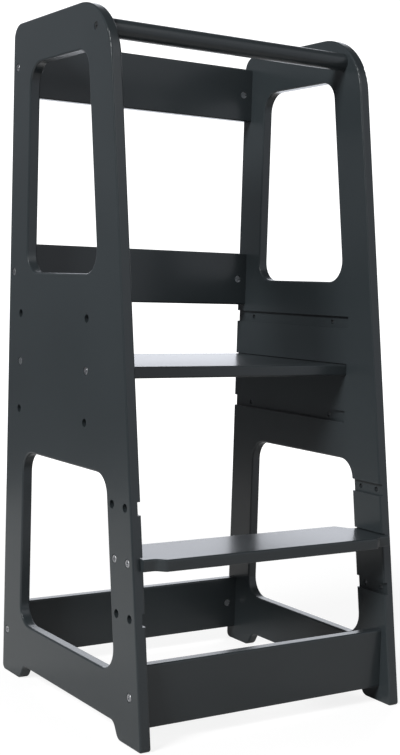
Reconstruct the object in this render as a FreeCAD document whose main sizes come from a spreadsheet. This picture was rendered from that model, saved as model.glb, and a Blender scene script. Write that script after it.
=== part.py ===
import FreeCAD, Part

import os

import Sketcher

# Toddler kitchen helper stool: a standing tower with two side panels, four flat rails, a round handrail,
# a standing platform and a climbing step. The platform and the step sit in grooves at one of three heights.
#
# Frame: X is the width (the left panel is at -X), +Y is the back, +Z is up. The origin is on the floor,
# in the middle of the footprint. The source works in lengths from the front foot ("depth"), and each
# body's Placement moves them into the frame. All sizes are in millimetres.

DRIVING_SIZES = (
    # side panels
    ("overall_width", 400, "outer face to outer face of the side panels"),
    ("overall_depth", 393, "front foot to back edge, on the floor"),
    ("overall_height", 900, "floor to the top of the panels"),
    ("panel_thickness", 15, "side panel board"),
    ("front_lean", 124, "how far the front edge leans back between floor and top"),
    ("front_leg_width", 59, "front leg, measured level"),
    ("back_leg_width", 55, "back leg"),
    ("front_top_radius", 88, "large round at the top front corner"),
    ("back_top_radius", 20, "round at the top back corner"),
    ("front_toe_radius", 4, "front bottom corner"),
    ("back_toe_radius", 8, "back bottom corner"),
    ("edge_radius", 2.5, "softened edge of every board"),
    # windows in the side panels
    ("upper_window_drop", 59, "top of the panels to the upper edge of the upper window"),
    ("upper_window_margin", 47.5, "highest platform groove to the lower edge of the upper window"),
    ("lower_window_margin", 50, "lowest platform groove to the upper edge of the lower window"),
    ("lower_window_sill", 79, "floor to the lower edge of the lower window"),
    ("window_radius", 28, "window corners"),
    # feet
    ("foot_length", 57, "floor contact to the middle of each foot's shoulder"),
    ("relief_height", 20, "rise of the lower edge between the feet"),
    ("shoulder_run", 12, "depth of the slanted shoulder of a foot"),
    ("shoulder_radius", 12, "the two rounds of a foot's shoulder"),
    # grooves for the platform and the step
    ("board_thickness", 15, "platform and step board"),
    ("groove_depth", 5, "grooves, into the inner faces of the panels"),
    ("groove_clearance", 1, "air above a board in its groove"),
    ("board_end_clearance", 0.5, "air between a board's end and the groove's floor"),
    ("level_pitch", 65.5, "from one height to the next"),
    ("platform_lowest_axis", 376, "floor to the bolts of the lowest platform height"),
    ("step_lowest_axis", 154, "floor to the bolts of the lowest step height"),
    # platform
    ("platform_front", 121, "front foot to the platform's front edge"),
    ("platform_front_clearance", 0.5, "air in front of the platform in its grooves"),
    ("platform_front_bolt_inset", 40.5, "platform's front edge to its front bolts"),
    ("platform_back_bolt_inset", 33, "platform's back edge to its back bolts"),
    # step
    ("step_tongue_overhang", 8, "step's tongue in front of the panel's front edge"),
    ("step_tongue_depth", 64.5, "tongue, front to back"),
    ("step_front_bulge", 10, "middle of the step in front of its tongues"),
    ("step_back_bulge", 21.5, "middle of the step behind its tongues"),
    ("step_front_neck", 17, "panel to the middle of the front shoulder"),
    ("step_back_neck", 14, "panel to the middle of the back shoulder"),
    ("step_front_shoulder_run", 10, "width of the slanted front shoulder"),
    ("step_back_shoulder_run", 12, "width of the slanted back shoulder"),
    ("step_shoulder_radius", 7, "rounds of the shoulders"),
    ("step_front_bolt_inset", 13.5, "panel's front edge to the step's front bolts"),
    ("step_bolt_spacing", 32, "front bolts to back bolts"),
    # rails and handrail
    ("rail_thickness", 15, "rail boards"),
    ("rail_height", 78, "rail boards"),
    ("back_rail_inset", 6, "panel's back edge to the back faces of the back rails and of the platform"),
    ("top_rail_drop", 20, "top of the panels to the top edge of the top back rail"),
    ("middle_rail_margin", 9, "highest platform groove to the lower edge of the middle back rail"),
    ("bottom_rail_lift", 20.5, "floor to the lower edges of the two bottom rails"),
    ("front_rail_set_back", 24, "front foot to the front face of the front rail"),
    ("handrail_diameter", 24, "round handrail"),
    ("handrail_inset", 36.3, "line of the leaning front edge to the handrail's axis, measured level"),
    ("handrail_drop", 35, "top of the panels to the handrail's axis"),
    # bolts and barrel nuts
    ("bolt_diameter", 6, "shank of every bolt"),
    ("bolt_head_diameter", 10, "cylinder head"),
    ("bolt_head_height", 6, "cylinder head"),
    ("bolt_head_bevel", 0.6, "outer edge of the head"),
    ("socket_across_corners", 5.8, "hexagon socket in the head"),
    ("socket_depth", 3, "hexagon socket in the head"),
    ("bolt_length", 30, "shank of every bolt"),
    ("counterbore_clearance", 0.4, "air round a bolt head"),
    ("head_recess", 0.2, "bolt head below the panel's outer face"),
    ("bolt_hole_clearance", 0.5, "air round a shank in wood"),
    ("thread_clearance", 0.05, "running gap round a shank in its barrel nut"),
    ("bolt_tip_room", 4, "hole beyond a bolt's tip"),
    ("nut_diameter", 10, "barrel nuts"),
    ("nut_length", 12, "barrel nuts"),
    ("nut_clearance", 0.1, "air round a barrel nut"),
    ("nut_slot_width", 1.2, "screwdriver slot"),
    ("nut_slot_depth", 1.6, "screwdriver slot"),
    ("nut_inset", 15, "inner face of a panel to the barrel nuts' axis"),
    # dowels and handrail screws
    ("dowel_diameter", 8, "wooden dowels at the rail ends"),
    ("dowel_length", 30, "wooden dowels"),
    ("dowel_bevel", 1, "dowel ends"),
    ("dowel_clearance", 0.1, "air round a dowel"),
    ("dowel_end_room", 0.5, "air at each end of a dowel"),
    ("dowel_spacing", 48, "from one dowel of a rail end to the other"),
    ("dowel_panel_depth", 9, "part of a dowel that is in the panel"),
    ("screw_diameter", 5, "handrail screws"),
    ("screw_length", 50, "handrail screws, overall"),
    ("screw_head_diameter", 8.6, "countersunk head"),
    ("screw_head_height", 3, "countersunk head"),
    ("screw_head_sink", 1.4, "screw head below the panel's outer face"),
    ("screw_point_length", 6, "cone at the tip"),
    ("screw_clearance", 0.1, "air round a handrail screw"),
    ("screw_recess_width", 2.6, "across the corners of the screw's driving recess"),
    ("screw_recess_depth", 1.8, "depth of the screw's driving recess"),
    # cutting
    ("cut_overrun", 5, "how far a cut passes through an open side"),
)

DERIVED_SIZES = (
    ("panel_inner", "overall_width / 2 - panel_thickness", "middle to the inner face of a panel"),
    ("rail_length", "2 * panel_inner", "between the panels"),
    ("board_length", "rail_length + 2 * groove_depth - 2 * board_end_clearance", "platform and step"),
    ("lean_rate", "front_lean / overall_height", "lean of the front edge per unit of height"),
    ("groove_height", "board_thickness + groove_clearance", "grooves"),
    ("shank_hole", "bolt_diameter / 2 + bolt_hole_clearance", "radius of the bolt holes"),
    ("head_hole", "bolt_head_diameter / 2 + counterbore_clearance", "radius of the counterbores"),
    ("head_seat", "bolt_head_height + head_recess", "depth of the counterbores"),
    ("dowel_hole", "dowel_diameter / 2 + dowel_clearance", "radius of the dowel holes"),
    ("screw_hole", "screw_diameter / 2 + screw_clearance", "radius of the handrail screw holes"),
    ("head_flare", "( screw_head_diameter - screw_diameter ) / 2", "how far a screw's head widens"),
    ("countersink_slope", "head_flare / screw_head_height", "slope of a screw head's cone"),
    ("countersink_depth", "screw_head_height + screw_head_sink", "countersinks of the handrail screws"),
    ("countersink_radius", "screw_hole + countersink_slope * countersink_depth", "at the panel's outer face"),
    ("back_rail_front", "overall_depth - back_rail_inset - rail_thickness", "front faces of the back rails"),
    ("top_rail_lift", "overall_height - top_rail_drop - rail_height", "lower edge of the top back rail"),
    ("lowest_groove", "platform_lowest_axis - board_thickness / 2", "lower edge of a lowest groove"),
    ("highest_groove", "lowest_groove + 2 * level_pitch + groove_height", "upper edge of the highest one"),
    ("lower_window_head", "lowest_groove - lower_window_margin", "floor to the lower window's upper edge"),
    ("upper_window_sill", "highest_groove + upper_window_margin", "floor to the upper window's lower edge"),
    ("upper_window_head", "overall_height - upper_window_drop", "floor to the upper window's upper edge"),
    ("middle_rail_lift", "highest_groove + middle_rail_margin", "lower edge of the middle back rail"),
    ("handrail_lift", "overall_height - handrail_drop", "floor to the handrail's axis"),
    ("handrail_depth", "lean_rate * handrail_lift + handrail_inset", "front foot to the handrail's axis"),
    ("platform_depth", "overall_depth - back_rail_inset - platform_front", "platform, front to back"),
    ("nut_reach", "panel_inner - nut_inset", "middle to the barrel nuts' axis"),
    ("screw_seat", "overall_width / 2 - screw_head_sink", "middle to the top of a handrail screw's head"),
    ("platform_axis", "platform_lowest_axis + level_pitch", "bolts of the height in use"),
    ("step_axis", "step_lowest_axis + level_pitch", "bolts of the height in use"),
    ("step_tongue_front", "lean_rate * step_axis - step_tongue_overhang", "front foot to the tongues"),
    ("step_front", "step_tongue_front - step_front_bulge", "front foot to the step's front edge"),
    ("step_depth", "step_front_bulge + step_tongue_depth + step_back_bulge", "step, front to back"),
    ("rail_nut_hole_depth", "rail_thickness / 2 + nut_length / 2", "barrel nut holes in the rails"),
    ("board_nut_hole_depth", "board_thickness / 2 + nut_length / 2", "barrel nut holes in the boards"),
)

LEVEL_COUNT = 3
SIDES = ("left", "right")
ALONG_X = FreeCAD.Rotation(FreeCAD.Vector(0, 1, 0), 90)
AGAINST_X = FreeCAD.Rotation(FreeCAD.Vector(0, 1, 0), -90)
FACING_FRONT = FreeCAD.Rotation(FreeCAD.Vector(1, 0, 0), 90)
FACING_BACK = FreeCAD.Rotation(FreeCAD.Vector(1, 0, 0), -90)
FACING_DOWN = FreeCAD.Rotation(FreeCAD.Vector(1, 0, 0), 180)
TOLERANCE = 0.01

doc = FreeCAD.newDocument("toddler_helper_stool")
sheet = doc.addObject("Spreadsheet::Sheet", "Sizes")
bodies = []


def fill_sheet():
    row = 1
    for name, value, note in DRIVING_SIZES:
        sheet.set(f"A{row}", name)
        sheet.set(f"B{row}", str(value))
        sheet.setAlias(f"B{row}", name)
        sheet.set(f"C{row}", note)
        row += 1
    for name, formula, note in DERIVED_SIZES:
        sheet.set(f"A{row}", name)
        sheet.set(f"B{row}", f"={formula}")
        sheet.setAlias(f"B{row}", name)
        sheet.set(f"C{row}", note)
        row += 1
    doc.recompute()


ALIASES = sorted((row[0] for row in DRIVING_SIZES + DERIVED_SIZES), key=len, reverse=True)


def sized(formula):
    """Points every size named in a formula at the sheet."""
    words = []
    for word in formula.replace("(", "( ").replace(")", " )").split():
        words.append(f"Sizes.{word}" if word in ALIASES else word)
    return " ".join(words)


def value_of(formula):
    return float(sheet.evalExpression(sized(formula)))


def bind(thing, settings):
    for name, formula in settings.items():
        thing.setExpression(name, sized(formula))


def new_body(label, x="0", depth="0", z="0", rotation=None):
    """A sub-part at a place given by its X, its depth behind the front foot and its height."""
    body = doc.addObject("PartDesign::Body", label)
    body.Label = label
    body.Placement = FreeCAD.Placement(FreeCAD.Vector(), rotation or FreeCAD.Rotation())
    place = {"Placement.Base.x": x, "Placement.Base.y": f"{depth} - overall_depth / 2", "Placement.Base.z": z}
    bind(body, place)
    bodies.append(body)
    return body


def primitive(body, kind, name, sizes, place=("0", "0", "0"), rotation=None):
    """An additive or subtractive primitive whose sizes and place follow the sheet."""
    feature = body.newObject(f"PartDesign::{kind}", name)
    feature.Placement = FreeCAD.Placement(FreeCAD.Vector(), rotation or FreeCAD.Rotation())
    bind(feature, sizes)
    bind(feature, {f"Placement.Base.{axis}": formula for axis, formula in zip("xyz", place)})
    return feature


def new_sketch(body, plane_role, name, offset="0"):
    """An empty sketch on one of the body's origin planes, or parallel to it at an offset."""
    sketch = body.newObject("Sketcher::SketchObject", name)
    plane = next(item for item in body.Origin.OriginFeatures if item.Role == plane_role)
    sketch.AttachmentSupport = (plane, [""])
    sketch.MapMode = "FlatFace"
    bind(sketch, {"AttachmentOffset.Base.z": offset})
    return sketch


def pin_point(sketch, index, point_number, across, up):
    """Fixes a point of a sketch at a pair of formulas."""
    for kind, formula, axis in (("DistanceX", across, -2), ("DistanceY", up, -1)):
        if formula == "0":
            sketch.addConstraint(Sketcher.Constraint("PointOnObject", index, point_number, axis))
            continue
        size = value_of(formula)
        number = sketch.addConstraint(Sketcher.Constraint(kind, -1, 1, index, point_number, size))
        label = f"{kind}_{index}"
        sketch.renameConstraint(number, label)
        sketch.setExpression(f"Constraints.{label}", sized(formula))


def add_outline(sketch, corners):
    """A closed outline of straight lines through corners given as pairs of formulas."""
    points = [FreeCAD.Vector(value_of(across), value_of(up), 0) for across, up in corners]
    first = sketch.GeometryCount
    count = len(points)
    for index, point in enumerate(points):
        sketch.addGeometry(Part.LineSegment(point, points[(index + 1) % count]), False)
    for index in range(count):
        following = first + (index + 1) % count
        sketch.addConstraint(Sketcher.Constraint("Coincident", first + index, 2, following, 1))
    for index, (across, up) in enumerate(corners):
        pin_point(sketch, first + index, 1, across, up)


def add_circle(sketch, across, up, radius):
    """A circle whose centre and radius are formulas."""
    centre = FreeCAD.Vector(value_of(across), value_of(up), 0)
    normal = FreeCAD.Vector(0, 0, 1)
    index = sketch.addGeometry(Part.Circle(centre, normal, value_of(radius)), False)
    pin_point(sketch, index, 3, across, up)
    number = sketch.addConstraint(Sketcher.Constraint("Radius", index, value_of(radius)))
    label = f"Radius_{index}"
    sketch.renameConstraint(number, label)
    sketch.setExpression(f"Constraints.{label}", sized(radius))


def outline_sketch(body, plane_role, name, corners):
    sketch = new_sketch(body, plane_role, name)
    add_outline(sketch, corners)
    return sketch


def pad(body, sketch, name, length):
    feature = body.newObject("PartDesign::Pad", name)
    feature.Profile = sketch
    bind(feature, {"Length": length})
    doc.recompute()
    return feature


def pocket(body, sketch, name, length, forward=True):
    """A pocket that cuts towards the sketch's normal, or away from it."""
    before = body.Tip.Shape.Volume
    feature = body.newObject("PartDesign::Pocket", name)
    feature.Profile = sketch
    feature.Reversed = forward
    bind(feature, {"Length": length})
    doc.recompute()
    if body.Tip.Shape.Volume > before - 1:
        raise RuntimeError(f"{name} cuts nothing")
    return feature


def straight_edges(shape, axis, places):
    """Names of the edges along one axis that pass through places given in the other two axes."""
    found = []
    others = [other for other in "xyz" if other != axis]
    for number, edge in enumerate(shape.Edges, 1):
        ends = [vertex.Point for vertex in edge.Vertexes]
        if len(ends) != 2 or edge.Curve.TypeId != "Part::GeomLine":
            continue
        for place in places:
            if all(abs(getattr(end, o) - p) < TOLERANCE for end in ends for o, p in zip(others, place)):
                found.append(f"Edge{number}")
    return found


def edges_in_planes(shape, axis, positions, skip=None):
    """Names of the edges that lie in planes square to one axis, without those that skip says."""
    found = []
    for number, edge in enumerate(shape.Edges, 1):
        ends = [vertex.Point for vertex in edge.Vertexes]
        for position in positions:
            flat = all(abs(getattr(end, axis) - position) < TOLERANCE for end in ends)
            if flat and not (skip and skip(ends)):
                found.append(f"Edge{number}")
    return found


def round_edges(body, name, edges, radius, expected):
    if len(edges) != expected:
        raise RuntimeError(f"{body.Label} {name}: {len(edges)} edges, not {expected}")
    feature = body.newObject("PartDesign::Fillet", name)
    feature.Base = (feature.BaseFeature, edges)
    bind(feature, {"Radius": radius})
    doc.recompute()
    return feature


def level_axis(lowest, level):
    return f"{lowest} + {level} * level_pitch"


def leg_front(height):
    """Depth of the panel's leaning front edge at a height."""
    return f"lean_rate * ( {height} )"


def fit_edge(body, name, corners, radius):
    """Rounds the edges along X that pass through the corners of an outline."""
    places = [(value_of(depth), value_of(height)) for depth, height in corners]
    edges = straight_edges(body.Tip.Shape, "x", places)
    round_edges(body, name, edges, radius, len(places))


def window_corners(sill, head):
    front_low = f"front_leg_width + {leg_front(sill)}"
    front_high = f"front_leg_width + {leg_front(head)}"
    back = "overall_depth - back_leg_width"
    return ((front_low, sill), (back, sill), (back, head), (front_high, head))


def rail_places():
    """Name, depth of the front face, height of the lower edge and the way the barrel nuts face."""
    return (
        ("back_rail_top", "back_rail_front", "top_rail_lift", "front"),
        ("back_rail_middle", "back_rail_front", "middle_rail_lift", "front"),
        ("back_rail_bottom", "back_rail_front", "bottom_rail_lift", "front"),
        ("front_rail_bottom", "front_rail_set_back", "bottom_rail_lift", "back"),
    )


def platform_bolt_depths(start):
    """Depths of the platform's bolts, where the platform's front edge has the depth start."""
    front = f"{start} + platform_front_bolt_inset"
    return (("front", front), ("back", f"{start} + platform_depth - platform_back_bolt_inset"))


def step_bolt_depths(axis):
    front = f"{leg_front(axis)} + step_front_bolt_inset"
    return (("front", front), ("back", f"{front} + step_bolt_spacing"))


def panel_bolt_places():
    """Depth and height of every bolt hole in a side panel."""
    places = []
    for level in range(LEVEL_COUNT):
        axis = level_axis("platform_lowest_axis", level)
        places += [(depth, axis) for _, depth in platform_bolt_depths("platform_front")]
        axis = level_axis("step_lowest_axis", level)
        places += [(depth, axis) for _, depth in step_bolt_depths(axis)]
    for _, front, lift, _ in rail_places():
        places.append((f"{front} + rail_thickness / 2", f"{lift} + rail_height / 2"))
    return places


def dowel_heights(lift):
    middle = f"{lift} + rail_height / 2"
    return (("upper", f"{middle} + dowel_spacing / 2"), ("lower", f"{middle} - dowel_spacing / 2"))


def groove_outlines():
    """Platform grooves are open at the back, step grooves at the lower window and at the front edge."""
    outlines = []
    for level in range(LEVEL_COUNT):
        bottom = f"{level_axis('platform_lowest_axis', level)} - board_thickness / 2"
        top = f"{bottom} + groove_height"
        front = "platform_front - platform_front_clearance"
        back = "overall_depth + cut_overrun"
        outlines.append(((front, bottom), (back, bottom), (back, top), (front, top)))
        bottom = f"{level_axis('step_lowest_axis', level)} - board_thickness / 2"
        top = f"{bottom} + groove_height"
        front = f"{leg_front(bottom)} - cut_overrun"
        back = f"{leg_front(top)} + front_leg_width + cut_overrun"
        outlines.append(((front, bottom), (back, bottom), (back, top), (front, top)))
    return outlines


def make_side_panel(side):
    left = side == "left"
    outer_x = "- overall_width / 2" if left else "panel_inner"
    body = new_body(f"{side}_side_panel", x=outer_x)
    outer_face = "0" if left else "panel_thickness"
    inner_face = "panel_thickness" if left else "0"

    shoulder_front = "foot_length + shoulder_run"
    shoulder_back = "overall_depth - foot_length - shoulder_run"
    foot_back = "overall_depth - foot_length"
    corners = (
        ("0", "0"),
        ("foot_length", "0"),
        (shoulder_front, "relief_height"),
        (shoulder_back, "relief_height"),
        (foot_back, "0"),
        ("overall_depth", "0"),
        ("overall_depth", "overall_height"),
        ("front_lean", "overall_height"),
    )
    sketch = outline_sketch(body, "YZ_Plane", f"{side}_outline", corners)
    pad(body, sketch, f"{side}_board", "panel_thickness")
    windows = (
        window_corners("upper_window_sill", "upper_window_head"),
        window_corners("lower_window_sill", "lower_window_head"),
    )
    sketch = new_sketch(body, "YZ_Plane", f"{side}_window_outlines")
    for window in windows:
        add_outline(sketch, window)
    pocket(body, sketch, f"{side}_windows", "panel_thickness")

    fit_edge(body, f"{side}_front_top", corners[7:], "front_top_radius")
    fit_edge(body, f"{side}_back_top", corners[6:7], "back_top_radius")
    fit_edge(body, f"{side}_back_toe", corners[5:6], "back_toe_radius")
    fit_edge(body, f"{side}_front_toe", corners[:1], "front_toe_radius")
    fit_edge(body, f"{side}_shoulders", corners[1:5], "shoulder_radius")
    fit_edge(body, f"{side}_window_rounds", windows[0] + windows[1], "window_radius")
    rims = edges_in_planes(body.Tip.Shape, "x", (0.0, value_of("panel_thickness")))
    outline_pieces = len(corners) + len(windows[0]) + len(windows[1])
    round_edges(body, f"{side}_rims", rims, "edge_radius", 4 * outline_pieces)

    sketch = new_sketch(body, "YZ_Plane", f"{side}_groove_outlines", inner_face)
    for outline in groove_outlines():
        add_outline(sketch, outline)
    pocket(body, sketch, f"{side}_grooves", "groove_depth", forward=not left)

    for name, radius, face, depth, forward in (
        ("bolt_holes", "shank_hole", "0", "panel_thickness", True),
        ("counterbores", "head_hole", outer_face, "head_seat", left),
    ):
        sketch = new_sketch(body, "YZ_Plane", f"{side}_{name}_circles", face)
        for place in panel_bolt_places():
            add_circle(sketch, *place, radius)
        pocket(body, sketch, f"{side}_{name}", depth, forward)

    sketch = new_sketch(body, "YZ_Plane", f"{side}_dowel_circles", inner_face)
    for _, front, lift, _ in rail_places():
        for _, height in dowel_heights(lift):
            add_circle(sketch, f"{front} + rail_thickness / 2", height, "dowel_hole")
    pocket(body, sketch, f"{side}_dowel_holes", "dowel_panel_depth + dowel_end_room", forward=not left)

    sketch = new_sketch(body, "YZ_Plane", f"{side}_screw_circle")
    add_circle(sketch, "handrail_depth", "handrail_lift", "screw_hole")
    pocket(body, sketch, f"{side}_screw_hole", "panel_thickness")
    sizes = {
        "Radius1": "countersink_radius" if left else "screw_hole",
        "Radius2": "screw_hole" if left else "countersink_radius",
        "Height": "countersink_depth",
    }
    start = "0" if left else "panel_thickness - countersink_depth"
    place = (start, "handrail_depth", "handrail_lift")
    primitive(body, "SubtractiveCone", f"{side}_countersink", sizes, place, ALONG_X)


def bore_x(body, name, start, depth, height, radius, length):
    """A round hole along X from a start, at a depth and a height."""
    sizes = {"Radius": radius, "Height": length}
    primitive(body, "SubtractiveCylinder", name, sizes, (start, depth, height), ALONG_X)


def end_bores(body, name, length, depth, height, radius, reach):
    """The same hole along X in both ends of a rail or board that starts at its own X of 0."""
    bore_x(body, f"{name}_left", "0", depth, height, radius, reach)
    bore_x(body, f"{name}_right", f"{length} - ( {reach} )", depth, height, radius, reach)


def bolt_reach(first_part):
    """How deep a bolt's hole runs into a rail or board, when the first part of the shank is outside it."""
    return f"bolt_length - ( {first_part} ) + bolt_tip_room"


def make_rail(name, front, lift, nuts_face):
    body = new_body(name, x="- panel_inner", depth=front, z=lift)
    sizes = {"Length": "rail_length", "Width": "rail_thickness", "Height": "rail_height"}
    primitive(body, "AdditiveBox", f"{name}_board", sizes)
    doc.recompute()
    faces = (0.0, value_of("rail_thickness"))
    edges = (0.0, value_of("rail_height"))
    long_edges = straight_edges(body.Tip.Shape, "x", [(face, edge) for face in faces for edge in edges])
    round_edges(body, f"{name}_rims", long_edges, "edge_radius", 4)

    middle = "rail_height / 2"
    depth = "rail_thickness / 2"
    reach = bolt_reach("panel_thickness - head_seat")
    end_bores(body, f"{name}_bolt_hole", "rail_length", depth, middle, "shank_hole", reach)
    reach = "dowel_length - dowel_panel_depth + dowel_end_room"
    for word, height in dowel_heights("0"):
        end_bores(body, f"{name}_{word}_dowel_hole", "rail_length", depth, height, "dowel_hole", reach)
    sizes = {"Radius": "nut_diameter / 2 + nut_clearance", "Height": "rail_nut_hole_depth"}
    opening = "rail_nut_hole_depth" if nuts_face == "front" else "rail_thickness"
    for side, x in (("left", "nut_inset"), ("right", "rail_length - nut_inset")):
        place = (x, opening, middle)
        primitive(body, "SubtractiveCylinder", f"{name}_nut_hole_{side}", sizes, place, FACING_FRONT)


def board_nut_holes(body, name, depths):
    """Bolt holes in both ends of a board, and the barrel nut holes in its underside."""
    reach = bolt_reach("panel_thickness - groove_depth - head_seat + board_end_clearance")
    sizes = {"Radius": "nut_diameter / 2 + nut_clearance", "Height": "board_nut_hole_depth"}
    height = "board_thickness / 2"
    for row, depth in depths:
        end_bores(body, f"{name}_{row}_bolt_hole", "board_length", depth, height, "shank_hole", reach)
        for side, x in (("left", "board_length / 2 - nut_reach"), ("right", "board_length / 2 + nut_reach")):
            primitive(body, "SubtractiveCylinder", f"{name}_{row}_nut_hole_{side}", sizes, (x, depth, "0"))


def make_platform():
    bottom = "platform_axis - board_thickness / 2"
    body = new_body("platform", x="- board_length / 2", depth="platform_front", z=bottom)
    sizes = {"Length": "board_length", "Width": "platform_depth", "Height": "board_thickness"}
    primitive(body, "AdditiveBox", "platform_board", sizes)
    doc.recompute()
    sides = (0.0, value_of("platform_depth"))
    faces = (0.0, value_of("board_thickness"))
    long_edges = straight_edges(body.Tip.Shape, "x", [(side, face) for side in sides for face in faces])
    round_edges(body, "platform_rims", long_edges, "edge_radius", 4)
    board_nut_holes(body, "platform", platform_bolt_depths("0"))


def make_step():
    """The step: narrow tongues in the front legs, and a middle that is deeper at front and back."""
    bottom = "step_axis - board_thickness / 2"
    body = new_body("step_board", x="- board_length / 2", depth="step_front", z=bottom)
    neck_front = "( groove_depth - board_end_clearance + step_front_neck )"
    neck_back = "( groove_depth - board_end_clearance + step_back_neck )"
    half_front = "step_front_shoulder_run / 2"
    half_back = "step_back_shoulder_run / 2"
    tongue_back = "step_front_bulge + step_tongue_depth"
    corners = (
        ("0", "step_front_bulge"),
        (f"{neck_front} - {half_front}", "step_front_bulge"),
        (f"{neck_front} + {half_front}", "0"),
        (f"board_length - {neck_front} - {half_front}", "0"),
        (f"board_length - {neck_front} + {half_front}", "step_front_bulge"),
        ("board_length", "step_front_bulge"),
        ("board_length", tongue_back),
        (f"board_length - {neck_back} + {half_back}", tongue_back),
        (f"board_length - {neck_back} - {half_back}", "step_depth"),
        (f"{neck_back} + {half_back}", "step_depth"),
        (f"{neck_back} - {half_back}", tongue_back),
        ("0", tongue_back),
    )
    pad(body, outline_sketch(body, "XY_Plane", "step_outline", corners), "step_plank", "board_thickness")
    places = [(value_of(x), value_of(depth)) for x, depth in corners[1:5] + corners[7:11]]
    shoulders = straight_edges(body.Tip.Shape, "z", places)
    round_edges(body, "step_shoulders", shoulders, "step_shoulder_radius", len(places))
    length = value_of("board_length")

    def at_an_end(ends):
        return all(end.x < TOLERANCE for end in ends) or all(end.x > length - TOLERANCE for end in ends)

    faces = (0.0, value_of("board_thickness"))
    rims = edges_in_planes(body.Tip.Shape, "z", faces, skip=at_an_end)
    outline_pieces = len(corners) - 2 + len(places)
    round_edges(body, "step_rims", rims, "edge_radius", 2 * outline_pieces)
    front = "step_front_bulge + step_tongue_overhang + step_front_bolt_inset"
    board_nut_holes(body, "step", (("front", front), ("back", f"{front} + step_bolt_spacing")))


def make_handrail():
    body = new_body("handrail_bar", "- panel_inner", "handrail_depth", "handrail_lift", ALONG_X)
    sizes = {"Radius": "handrail_diameter / 2", "Height": "rail_length"}
    primitive(body, "AdditiveCylinder", "handrail_rod", sizes)
    reach = "screw_length + screw_head_sink - panel_thickness + screw_clearance"
    sizes = {"Radius": "screw_hole", "Height": reach}
    primitive(body, "SubtractiveCylinder", "handrail_screw_hole_left", sizes)
    start = f"rail_length - ( {reach} )"
    primitive(body, "SubtractiveCylinder", "handrail_screw_hole_right", sizes, ("0", "0", start))


def make_bolt(name, side, depth, height):
    """A socket bolt whose head is seated in the counterbore of one panel. Its own Z points outward."""
    sign = "-" if side == "left" else ""
    seat = f"{sign} ( overall_width / 2 - head_seat )"
    outward = AGAINST_X if side == "left" else ALONG_X
    body = new_body(name, x=seat, depth=depth, z=height, rotation=outward)
    head = {"Radius": "bolt_head_diameter / 2", "Height": "bolt_head_height"}
    primitive(body, "AdditiveCylinder", f"{name}_head", head)
    doc.recompute()
    top = value_of("bolt_head_height")
    bevel = body.newObject("PartDesign::Chamfer", f"{name}_bevel")
    bevel.Base = (bevel.BaseFeature, edges_in_planes(bevel.BaseFeature.Shape, "z", (top,)))
    bind(bevel, {"Size": "bolt_head_bevel"})
    shank = {"Radius": "bolt_diameter / 2", "Height": "bolt_length"}
    primitive(body, "AdditiveCylinder", f"{name}_shank", shank, ("0", "0", "- bolt_length"))
    socket = {"Circumradius": "socket_across_corners / 2", "Height": "socket_depth"}
    place = ("0", "0", "bolt_head_height - socket_depth")
    recess = primitive(body, "SubtractivePrism", f"{name}_socket", socket, place)
    recess.Polygon = 6


def make_nut(name, x, depth, height, facing):
    """A barrel nut with a plain cross bore for the bolt and a screwdriver slot in the end that shows."""
    body = new_body(name, x=x, depth=depth, z=height, rotation=facing)
    middle = "nut_length / 2"
    sizes = {"Radius": "nut_diameter / 2", "Height": "nut_length"}
    primitive(body, "AdditiveCylinder", f"{name}_barrel", sizes, ("0", "0", f"- {middle}"))
    sizes = {"Radius": "bolt_diameter / 2 + thread_clearance", "Height": "nut_diameter"}
    primitive(body, "SubtractiveCylinder", f"{name}_bore", sizes, ("- nut_diameter / 2", "0", "0"), ALONG_X)
    sizes = {"Length": "nut_diameter", "Width": "nut_slot_width", "Height": "nut_slot_depth"}
    place = ("- nut_diameter / 2", "- nut_slot_width / 2", f"{middle} - nut_slot_depth")
    primitive(body, "SubtractiveBox", f"{name}_slot", sizes, place)


def make_dowel(name, side, depth, height):
    reach = "panel_inner + dowel_panel_depth"
    start = f"- ( {reach} )" if side == "left" else f"{reach} - dowel_length"
    body = new_body(name, x=start, depth=depth, z=height, rotation=ALONG_X)
    sizes = {"Radius": "dowel_diameter / 2", "Height": "dowel_length"}
    primitive(body, "AdditiveCylinder", f"{name}_pin", sizes)
    doc.recompute()
    ends = (0.0, value_of("dowel_length"))
    bevel = body.newObject("PartDesign::Chamfer", f"{name}_bevel")
    bevel.Base = (bevel.BaseFeature, edges_in_planes(bevel.BaseFeature.Shape, "z", ends))
    bind(bevel, {"Size": "dowel_bevel"})


def make_handrail_screw(side):
    """A countersunk screw, with its head a little below the panel's outer face. Its own Z points outward."""
    name = f"handrail_screw_{side}"
    sign = "-" if side == "left" else ""
    outward = AGAINST_X if side == "left" else ALONG_X
    body = new_body(name, f"{sign} screw_seat", "handrail_depth", "handrail_lift", outward)
    thin = "screw_diameter / 2"
    sizes = {"Radius1": thin, "Radius2": "screw_head_diameter / 2", "Height": "screw_head_height"}
    primitive(body, "AdditiveCone", f"{name}_head", sizes, ("0", "0", "- screw_head_height"))
    straight = "screw_length - screw_head_height - screw_point_length"
    sizes = {"Radius": thin, "Height": straight}
    place = ("0", "0", "screw_point_length - screw_length")
    primitive(body, "AdditiveCylinder", f"{name}_shank", sizes, place)
    sizes = {"Radius1": "0 * screw_diameter", "Radius2": thin, "Height": "screw_point_length"}
    primitive(body, "AdditiveCone", f"{name}_point", sizes, ("0", "0", "- screw_length"))
    sizes = {"Circumradius": "screw_recess_width / 2", "Height": "screw_recess_depth"}
    recess = primitive(body, "SubtractivePrism", f"{name}_recess", sizes, ("0", "0", "- screw_recess_depth"))
    recess.Polygon = 6


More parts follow.
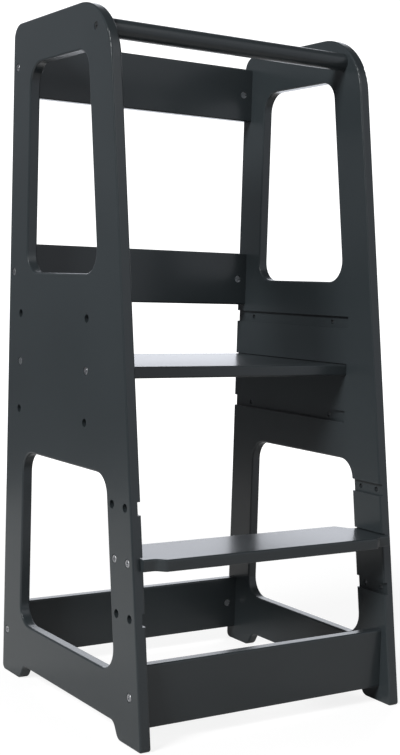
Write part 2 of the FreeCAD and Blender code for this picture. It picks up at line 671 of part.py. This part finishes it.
def make_rail_fasteners():
    for rail, front, lift, nuts_face in rail_places():
        depth = f"{front} + rail_thickness / 2"
        middle = f"{lift} + rail_height / 2"
        facing = FACING_FRONT if nuts_face == "front" else FACING_BACK
        for side in SIDES:
            make_bolt(f"{rail}_bolt_{side}", side, depth, middle)
            sign = "-" if side == "left" else ""
            make_nut(f"{rail}_nut_{side}", f"{sign} nut_reach", depth, middle, facing)
            for word, height in dowel_heights(lift):
                make_dowel(f"{rail}_dowel_{side}_{word}", side, depth, height)


def make_board_fasteners():
    for board, axis, depths in (
        ("platform", "platform_axis", platform_bolt_depths("platform_front")),
        ("step", "step_axis", step_bolt_depths("step_axis")),
    ):
        for row, depth in depths:
            for side in SIDES:
                make_bolt(f"{board}_bolt_{side}_{row}", side, depth, axis)
                sign = "-" if side == "left" else ""
                make_nut(f"{board}_nut_{side}_{row}", f"{sign} nut_reach", depth, axis, FACING_DOWN)


def check_and_export():
    doc.recompute()
    for item in doc.Objects:
        if "Invalid" in item.State or "Error" in item.State:
            raise RuntimeError(f"{item.Name}: {item.State}")
    for body in bodies:
        if body.Shape.isNull() or not body.Shape.isValid() or len(body.Shape.Solids) != 1:
            raise RuntimeError(f"{body.Label} is not one valid solid")
    os.makedirs("parts", exist_ok=True)
    for body in bodies:
        body.Shape.exportStep(f"parts/{body.Label}.step")
    print(f"{len(bodies)} sub-parts")


fill_sheet()
for panel_side in SIDES:
    make_side_panel(panel_side)
for rail_place in rail_places():
    make_rail(*rail_place)
make_platform()
make_step()
make_handrail()
make_rail_fasteners()
make_board_fasteners()
for screw_side in SIDES:
    make_handrail_screw(screw_side)
check_and_export()
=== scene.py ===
"""Looks of the toddler kitchen helper stool.

Dark satin paint on the wooden boards, bright zinc bolts and nuts, and a plain white set.
"""

import math

import bpy
from mathutils import Matrix, Vector

IMAGE_WIDTH = 400
IMAGE_HEIGHT = 755

# The camera that fits the photograph's edges, in metres and degrees, and in pixels of the image.
CAMERA_PLACE = Vector((-0.9694, -1.4944, 0.5550))
CAMERA_YAW = 32.821
CAMERA_PITCH = -4.689
CAMERA_ROLL = 1.766
FOCAL_PIXELS = 1315.2
CENTRE_ACROSS = 200.08
CENTRE_DOWN = 391.37
SENSOR_HEIGHT = 36.0

# Materials: a scale is about the number of patches of noise in a metre, and a height is in metres.
TONE_START = 0.3
TONE_END = 0.7
SLOW_DETAIL = 3.0
PAINT_DARK = (0.031, 0.0385, 0.0425)
PAINT_LIGHT = (0.036, 0.0445, 0.049)
PAINT_SCALE = 6.0
PAINT_ROUGHNESS = 0.38
PAINT_ROUGHNESS_CHANGE = 0.04
PAINT_IOR = 1.4
ROLLER_SCALE = 420.0
ROLLER_DETAIL = 2.0
ROLLER_HEIGHT = 0.00003
LACQUER_WEIGHT = 1.0
LACQUER_ROUGHNESS = 0.22
LACQUER_IOR = 1.4
ZINC_DARK = (0.76, 0.77, 0.79)
ZINC_LIGHT = (0.88, 0.89, 0.91)
ZINC_SCALE = 300.0
ZINC_ROUGHNESS_LOW = 0.3
ZINC_ROUGHNESS_HIGH = 0.42
SCREW_DARK = (0.10, 0.105, 0.11)
SCREW_LIGHT = (0.16, 0.165, 0.17)
SCREW_SCALE = 400.0
SCREW_ROUGHNESS = 0.4
SCREW_METALLIC = 0.8
BEECH_DARK = (0.50, 0.31, 0.16)
BEECH_LIGHT = (0.70, 0.50, 0.31)
BEECH_SCALE = 700.0
BEECH_DETAIL = 4.0
BEECH_STRETCH = (0.08, 1.0, 1.0)
BEECH_ROUGHNESS = 0.6

# Light: places in metres, lamp power in watts, levels where 1 is white.
WHITE = (1.0, 1.0, 1.0, 1.0)
FLOOR_RADIUS = 1.8
FLOOR_PLAIN_RADIUS = 0.9
FLOOR_CORNERS = 96
FLOOR_ROUGHNESS = 0.9
# The floor's colour for the light that it throws on the object, and for the camera, on top of its glow.
FLOOR_COLOUR = (0.5, 0.5, 0.5, 1.0)
FLOOR_SEEN_COLOUR = (0.24, 0.24, 0.24, 1.0)
FLOOR_GLOW = 0.85
FLOOR_MIRRORED = 0.02
ROOM_COLOUR = (0.9, 0.93, 1.0, 1.0)
ROOM_DIFFUSE = 0.03
ROOM_MIRRORED = 0.06
# Bright patches that mirroring surfaces see: the direction of the middle, the level, and the cosines of
# the angles from the middle at which the patch ends and is full.
BACKDROP_PATCH = ((0.5, 0.86, 0.0), 1.35, 0.7, 0.92)
FRONT_PATCH = ((0.5, -0.85, 0.2), 0.5, 0.7, 0.9)
LEFT_PATCH = ((-0.54, 0.84, 0.4), 0.19, 0.91, 0.97)
LAMP_TARGET = Vector((0.0, 0.0, 0.45))
KEY_PLACE = (-4.1, -1.1, 3.25)
KEY_SIZE = 1.5
KEY_MATT_POWER = 185.0
KEY_POWER = 55.0
FILL_PLACE = (0.2, -2.0, 2.2)
FILL_SIZE = 1.6
FILL_POWER = 6.5
BACK_PLACE = (3.4, 3.2, 2.8)
BACK_SIZE = 2.0
BACK_POWER = 130.0

BOARDS = (
    "left_side_panel",
    "right_side_panel",
    "handrail_bar",
    "back_rail_top",
    "back_rail_middle",
    "back_rail_bottom",
    "front_rail_bottom",
    "platform",
    "step_board",
)

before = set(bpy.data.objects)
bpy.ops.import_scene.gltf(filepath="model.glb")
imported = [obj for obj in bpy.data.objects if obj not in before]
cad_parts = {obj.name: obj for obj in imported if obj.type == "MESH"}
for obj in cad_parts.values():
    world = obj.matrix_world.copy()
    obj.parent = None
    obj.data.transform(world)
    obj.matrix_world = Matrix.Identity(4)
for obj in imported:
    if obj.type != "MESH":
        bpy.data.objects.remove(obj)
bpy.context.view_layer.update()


def new_material(name):
    material = bpy.data.materials.new(name)
    material.use_nodes = True
    nodes = material.node_tree.nodes
    return material, nodes, material.node_tree.links, nodes["Principled BSDF"]


def noise(nodes, links, scale, detail):
    """Noise in the object's own coordinates, in metres."""
    place = nodes.new("ShaderNodeTexCoord")
    texture = nodes.new("ShaderNodeTexNoise")
    texture.inputs["Scale"].default_value = scale
    texture.inputs["Detail"].default_value = detail
    links.new(place.outputs["Object"], texture.inputs["Vector"])
    return texture.outputs["Fac"]


def tones(nodes, links, source, dark, light):
    """A colour between dark and light, by a source from 0 to 1."""
    node = nodes.new("ShaderNodeValToRGB")
    stops = zip(node.color_ramp.elements, (TONE_START, TONE_END), (dark, light))
    for element, position, colour in stops:
        element.position = position
        element.color = (*colour, 1.0)
    links.new(source, node.inputs["Fac"])
    return node.outputs["Color"]


def spread(nodes, links, source, low, high):
    """A number between low and high, by a source from 0 to 1."""
    node = nodes.new("ShaderNodeMapRange")
    node.inputs["To Min"].default_value = low
    node.inputs["To Max"].default_value = high
    links.new(source, node.inputs["Value"])
    return node.outputs["Result"]


def bump(nodes, links, source, distance):
    node = nodes.new("ShaderNodeBump")
    node.inputs["Distance"].default_value = distance
    links.new(source, node.inputs["Height"])
    return node.outputs["Normal"]


def mixed_colour(nodes, links, factor, first, second):
    mix = nodes.new("ShaderNodeMix")
    mix.data_type = "RGBA"
    mix.inputs["A"].default_value = first
    mix.inputs["B"].default_value = second
    links.new(factor, mix.inputs["Factor"])
    return mix.outputs["Result"]


def paint_material():
    """Anthracite satin paint under a clear lacquer.

    It has a faint roller texture and slow changes of tone and sheen.
    """
    material, nodes, links, shader = new_material("anthracite_satin_paint")
    slow = noise(nodes, links, PAINT_SCALE, SLOW_DETAIL)
    tone = tones(nodes, links, slow, PAINT_DARK, PAINT_LIGHT)
    links.new(tone, shader.inputs["Base Color"])
    smoothest = PAINT_ROUGHNESS - PAINT_ROUGHNESS_CHANGE
    roughest = PAINT_ROUGHNESS + PAINT_ROUGHNESS_CHANGE
    sheen = spread(nodes, links, slow, smoothest, roughest)
    links.new(sheen, shader.inputs["Roughness"])
    roller = noise(nodes, links, ROLLER_SCALE, ROLLER_DETAIL)
    waves = bump(nodes, links, roller, ROLLER_HEIGHT)
    links.new(waves, shader.inputs["Normal"])
    shader.inputs["IOR"].default_value = PAINT_IOR
    shader.inputs["Coat Weight"].default_value = LACQUER_WEIGHT
    shader.inputs["Coat Roughness"].default_value = LACQUER_ROUGHNESS
    shader.inputs["Coat IOR"].default_value = LACQUER_IOR
    return material


def zinc_material():
    """Bright zinc of the bolts and the barrel nuts."""
    material, nodes, links, shader = new_material("bright_zinc")
    slow = noise(nodes, links, ZINC_SCALE, SLOW_DETAIL)
    tone = tones(nodes, links, slow, ZINC_DARK, ZINC_LIGHT)
    links.new(tone, shader.inputs["Base Color"])
    sheen = spread(nodes, links, slow, ZINC_ROUGHNESS_LOW, ZINC_ROUGHNESS_HIGH)
    links.new(sheen, shader.inputs["Roughness"])
    shader.inputs["Metallic"].default_value = 1.0
    return material


def beech_material():
    """Plain beech of the dowels, with the grain along X."""
    material, nodes, links, shader = new_material("plain_beech")
    place = nodes.new("ShaderNodeTexCoord")
    stretch = nodes.new("ShaderNodeMapping")
    stretch.inputs["Scale"].default_value = BEECH_STRETCH
    grain = nodes.new("ShaderNodeTexNoise")
    grain.inputs["Scale"].default_value = BEECH_SCALE
    grain.inputs["Detail"].default_value = BEECH_DETAIL
    links.new(place.outputs["Object"], stretch.inputs["Vector"])
    links.new(stretch.outputs["Vector"], grain.inputs["Vector"])
    tone = tones(nodes, links, grain.outputs["Fac"], BEECH_DARK, BEECH_LIGHT)
    links.new(tone, shader.inputs["Base Color"])
    shader.inputs["Roughness"].default_value = BEECH_ROUGHNESS
    return material


def dark_zinc_material():
    """Dark zinc of the handrail's screws."""
    material, nodes, links, shader = new_material("dark_zinc")
    slow = noise(nodes, links, SCREW_SCALE, SLOW_DETAIL)
    tone = tones(nodes, links, slow, SCREW_DARK, SCREW_LIGHT)
    links.new(tone, shader.inputs["Base Color"])
    shader.inputs["Roughness"].default_value = SCREW_ROUGHNESS
    shader.inputs["Metallic"].default_value = SCREW_METALLIC
    return material


def dress_nodes():
    paint = paint_material()
    zinc = zinc_material()
    dark = dark_zinc_material()
    beech = beech_material()
    for name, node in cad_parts.items():
        if name in BOARDS:
            finish = paint
        elif "dowel" in name:
            finish = beech
        elif "screw" in name:
            finish = dark
        else:
            finish = zinc
        node.data.materials.clear()
        node.data.materials.append(finish)


def make_camera():
    data = bpy.data.cameras.new("camera")
    camera = bpy.data.objects.new("camera", data)
    bpy.context.collection.objects.link(camera)
    yaw, pitch, roll = (math.radians(angle) for angle in (CAMERA_YAW, CAMERA_PITCH, CAMERA_ROLL))
    ahead = Vector((math.sin(yaw) * math.cos(pitch), math.cos(yaw) * math.cos(pitch), math.sin(pitch)))
    level = Vector((math.cos(yaw), -math.sin(yaw), 0.0))
    upright = level.cross(ahead)
    right = level * math.cos(roll) + upright * math.sin(roll)
    up = upright * math.cos(roll) - level * math.sin(roll)
    turn = Matrix((right, up, -ahead)).transposed()
    camera.matrix_world = Matrix.Translation(CAMERA_PLACE) @ turn.to_4x4()
    data.sensor_fit = "VERTICAL"
    data.sensor_height = SENSOR_HEIGHT
    data.lens = FOCAL_PIXELS * SENSOR_HEIGHT / IMAGE_HEIGHT
    data.shift_x = (IMAGE_WIDTH / 2 - CENTRE_ACROSS) / IMAGE_HEIGHT
    data.shift_y = (CENTRE_DOWN - IMAGE_HEIGHT / 2) / IMAGE_HEIGHT
    bpy.context.scene.camera = camera


def larger_of(nodes, links, first, second):
    larger = nodes.new("ShaderNodeMath")
    larger.operation = "MAXIMUM"
    links.new(first, larger.inputs[0])
    links.new(second, larger.inputs[1])
    return larger.outputs["Value"]


def shown_directly_or_mirrored(nodes, links):
    """The light path, and a factor for what is seen.

    The factor is 1 for rays from the camera and from mirroring or clear surfaces, and 0 for the light
    on matt surfaces.
    """
    path = nodes.new("ShaderNodeLightPath")
    total = larger_of(nodes, links, path.outputs["Is Camera Ray"], path.outputs["Is Glossy Ray"])
    return path, larger_of(nodes, links, total, path.outputs["Is Transmission Ray"])


def make_floor():
    """A plain white floor that keeps the object's soft shadow."""
    turns = [2 * math.pi * index / FLOOR_CORNERS for index in range(FLOOR_CORNERS)]
    rim = [(FLOOR_RADIUS * math.cos(turn), FLOOR_RADIUS * math.sin(turn), 0.0) for turn in turns]
    mesh = bpy.data.meshes.new("floor")
    mesh.from_pydata(rim, [], [range(FLOOR_CORNERS)])
    floor = bpy.data.objects.new("floor", mesh)
    bpy.context.collection.objects.link(floor)
    material, nodes, links, shader = new_material("white_floor")
    shader.inputs["Roughness"].default_value = FLOOR_ROUGHNESS
    shader.inputs["Specular IOR Level"].default_value = 0.0
    shader.inputs["Emission Color"].default_value = WHITE
    path, seen = shown_directly_or_mirrored(nodes, links)
    by_camera = path.outputs["Is Camera Ray"]
    colour = mixed_colour(nodes, links, by_camera, FLOOR_COLOUR, FLOOR_SEEN_COLOUR)
    links.new(colour, shader.inputs["Base Color"])
    mirrored = nodes.new("ShaderNodeMath")
    mirrored.operation = "MULTIPLY"
    mirrored.inputs[1].default_value = FLOOR_MIRRORED
    links.new(seen, mirrored.inputs[0])
    # The glow grows to white at the rim, so the floor has no edge against the background.
    place = nodes.new("ShaderNodeTexCoord")
    distance = nodes.new("ShaderNodeVectorMath")
    distance.operation = "LENGTH"
    links.new(place.outputs["Object"], distance.inputs[0])
    fade = nodes.new("ShaderNodeMapRange")
    fade.interpolation_type = "SMOOTHSTEP"
    fade.inputs["From Min"].default_value = FLOOR_PLAIN_RADIUS
    fade.inputs["From Max"].default_value = FLOOR_RADIUS
    fade.inputs["To Min"].default_value = FLOOR_GLOW
    fade.inputs["To Max"].default_value = 1.0
    links.new(distance.outputs["Value"], fade.inputs["Value"])
    glow = nodes.new("ShaderNodeMix")
    glow.data_type = "FLOAT"
    links.new(by_camera, glow.inputs["Factor"])
    links.new(mirrored.outputs["Value"], glow.inputs["A"])
    links.new(fade.outputs["Result"], glow.inputs["B"])
    links.new(glow.outputs["Result"], shader.inputs["Emission Strength"])
    floor.data.materials.append(material)


def bright_patch(nodes, links, place, middle, level, edge, full):
    """The level in the directions around the middle, and the room's own level beyond the edge."""
    towards = nodes.new("ShaderNodeVectorMath")
    towards.operation = "DOT_PRODUCT"
    towards.inputs[1].default_value = Vector(middle).normalized()
    links.new(place.outputs["Generated"], towards.inputs[0])
    patch = nodes.new("ShaderNodeMapRange")
    patch.interpolation_type = "SMOOTHSTEP"
    patch.inputs["From Min"].default_value = edge
    patch.inputs["From Max"].default_value = full
    patch.inputs["To Min"].default_value = ROOM_MIRRORED
    patch.inputs["To Max"].default_value = level
    links.new(towards.outputs["Value"], patch.inputs["Value"])
    return patch.outputs["Result"]


def make_room():
    """A white background.

    Mirroring surfaces see a bright backdrop, two dimmer patches and a dark room elsewhere.
    """
    world = bpy.data.worlds.new("white_world")
    bpy.context.scene.world = world
    world.use_nodes = True
    nodes = world.node_tree.nodes
    links = world.node_tree.links
    background = nodes["Background"]
    place = nodes.new("ShaderNodeTexCoord")
    path, seen = shown_directly_or_mirrored(nodes, links)
    by_camera = path.outputs["Is Camera Ray"]
    shown = by_camera
    for patch in (BACKDROP_PATCH, FRONT_PATCH, LEFT_PATCH):
        shown = larger_of(nodes, links, shown, bright_patch(nodes, links, place, *patch))
    strength = nodes.new("ShaderNodeMix")
    strength.data_type = "FLOAT"
    strength.inputs["A"].default_value = ROOM_DIFFUSE
    links.new(seen, strength.inputs["Factor"])
    links.new(shown, strength.inputs["B"])
    links.new(strength.outputs["Result"], background.inputs["Strength"])
    colour = mixed_colour(nodes, links, by_camera, ROOM_COLOUR, WHITE)
    links.new(colour, background.inputs["Color"])


def make_lamp(name, place, size, power):
    data = bpy.data.lights.new(name, "AREA")
    data.shape = "SQUARE"
    data.size = size
    data.energy = power
    lamp = bpy.data.objects.new(name, data)
    bpy.context.collection.objects.link(lamp)
    lamp.location = place
    aim = LAMP_TARGET - Vector(place)
    lamp.rotation_euler = aim.to_track_quat("-Z", "Y").to_euler()
    return lamp


def make_lamps():
    """A key from the left, a weak fill from the front and a lamp for the right side and the back.

    Most of the key and all of the back lamp leave no highlight, as from much larger soft sources.
    """
    make_lamp("key", KEY_PLACE, KEY_SIZE, KEY_POWER)
    matt_key = make_lamp("matt_key", KEY_PLACE, KEY_SIZE, KEY_MATT_POWER)
    matt_key.visible_glossy = False
    back = make_lamp("back_fill", BACK_PLACE, BACK_SIZE, BACK_POWER)
    back.visible_glossy = False
    make_lamp("fill", FILL_PLACE, FILL_SIZE, FILL_POWER)


make_camera()
dress_nodes()
make_floor()
make_room()
make_lamps()
bpy.context.scene.view_settings.view_transform = "Standard"
